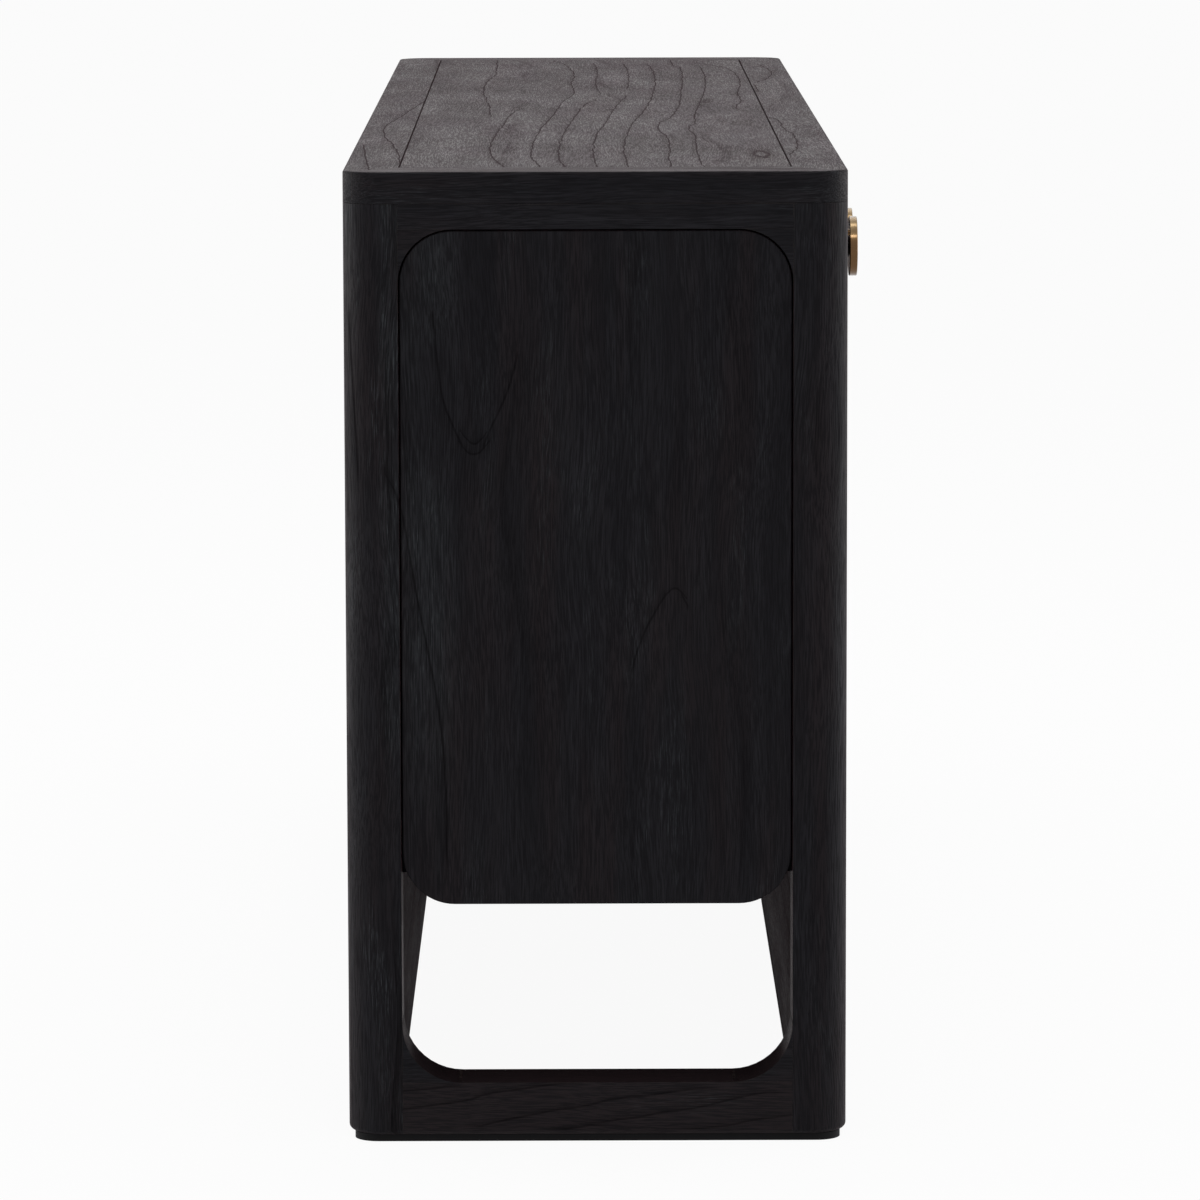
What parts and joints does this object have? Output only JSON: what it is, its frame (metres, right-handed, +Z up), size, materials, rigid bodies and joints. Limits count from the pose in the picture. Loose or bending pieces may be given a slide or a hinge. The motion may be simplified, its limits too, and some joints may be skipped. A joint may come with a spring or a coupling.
{
  "type": "kang cabinet",
  "caption": "Long low black-stained wood cabinet: rounded frame, flush hinged doors and side panels over an open leg space, inset framed top, round brass knobs.",
  "frame": {"origin": "on the floor, under the middle of the whole outline with the knobs counted in", "axes": "+X along the length to the right-hand end seen from the front, the doors face -Y, +Z up"},
  "size_m": [1.83, 0.435, 0.8],
  "materials": {
    "ebonised_wood": "black-stained open-grain hardwood, satin",
    "case_board": "black-stained veneered board, matt",
    "brass": "brushed, lightly toned",
    "steel": "plated",
    "catch_plastic": "moulded",
    "foot_strip": "black-stained, matt"
  },
  "bodies": {
    "case": {"back_cleats": "case_board", "back_panel": "ebonised_wood", "back_panel_screws": "steel", "bottom_board": "case_board", "centre_divider": "case_board", "centre_stile": "ebonised_wood", "corner_blocks_back": "ebonised_wood", "corner_blocks_ends": "ebonised_wood", "corner_blocks_front": "ebonised_wood", "floor_rail_back": "ebonised_wood", "floor_rail_front": "ebonised_wood", "floor_rail_left": "ebonised_wood", "floor_rail_right": "ebonised_wood", "foot_strips": "foot_strip", "hinge_frame_leaves": "brass", "hinge_frame_screws": "brass", "hinge_pins": "brass", "magnet_catches": "catch_plastic", "plinth_back": "case_board", "plinth_front": "case_board", "post_back_left": "ebonised_wood", "post_back_right": "ebonised_wood", "post_front_left": "ebonised_wood", "post_front_right": "ebonised_wood", "shelf_left": "case_board", "shelf_pins": "brass", "shelf_right": "case_board", "side_lining_left": "case_board", "side_lining_right": "case_board", "side_panel_left": "ebonised_wood", "side_panel_right": "ebonised_wood", "top_border_back": "ebonised_wood", "top_border_front": "ebonised_wood", "top_border_left": "ebonised_wood", "top_border_right": "ebonised_wood", "top_panel": "ebonised_wood", "top_rail_back": "ebonised_wood", "top_rail_front": "ebonised_wood", "top_rail_left": "ebonised_wood", "top_rail_right": "ebonised_wood"},
    "swing_left_outer": {"door_left_outer": "ebonised_wood", "knob_left_outer": "brass", "hinge_leaves_left_outer": "brass", "door_screws_left_outer": "brass", "strike_plate_left_outer": "steel"},
    "swing_left_inner": {"door_left_inner": "ebonised_wood", "knob_left_inner": "brass", "hinge_leaves_left_inner": "brass", "door_screws_left_inner": "brass", "strike_plate_left_inner": "steel"},
    "swing_right_inner": {"door_right_inner": "ebonised_wood", "knob_right_inner": "brass", "hinge_leaves_right_inner": "brass", "door_screws_right_inner": "brass", "strike_plate_right_inner": "steel"},
    "swing_right_outer": {"door_right_outer": "ebonised_wood", "knob_right_outer": "brass", "hinge_leaves_right_outer": "brass", "door_screws_right_outer": "brass", "strike_plate_right_outer": "steel"}
  },
  "joints": [
    {"name": "left_outer_hinge", "type": "hinge", "parent": "case", "child": "swing_left_outer", "pos_m": [-0.859, -0.192, 0.47525], "axis": [0, 0, -1], "range_deg": [0, 110]},
    {"name": "left_inner_hinge", "type": "hinge", "parent": "case", "child": "swing_left_inner", "pos_m": [-0.0285, -0.192, 0.47525], "axis": [0, 0, 1], "range_deg": [0, 88]},
    {"name": "right_inner_hinge", "type": "hinge", "parent": "case", "child": "swing_right_inner", "pos_m": [0.0285, -0.192, 0.47525], "axis": [0, 0, -1], "range_deg": [0, 88]},
    {"name": "right_outer_hinge", "type": "hinge", "parent": "case", "child": "swing_right_outer", "pos_m": [0.859, -0.192, 0.47525], "axis": [0, 0, 1], "range_deg": [0, 110]}
  ]
}
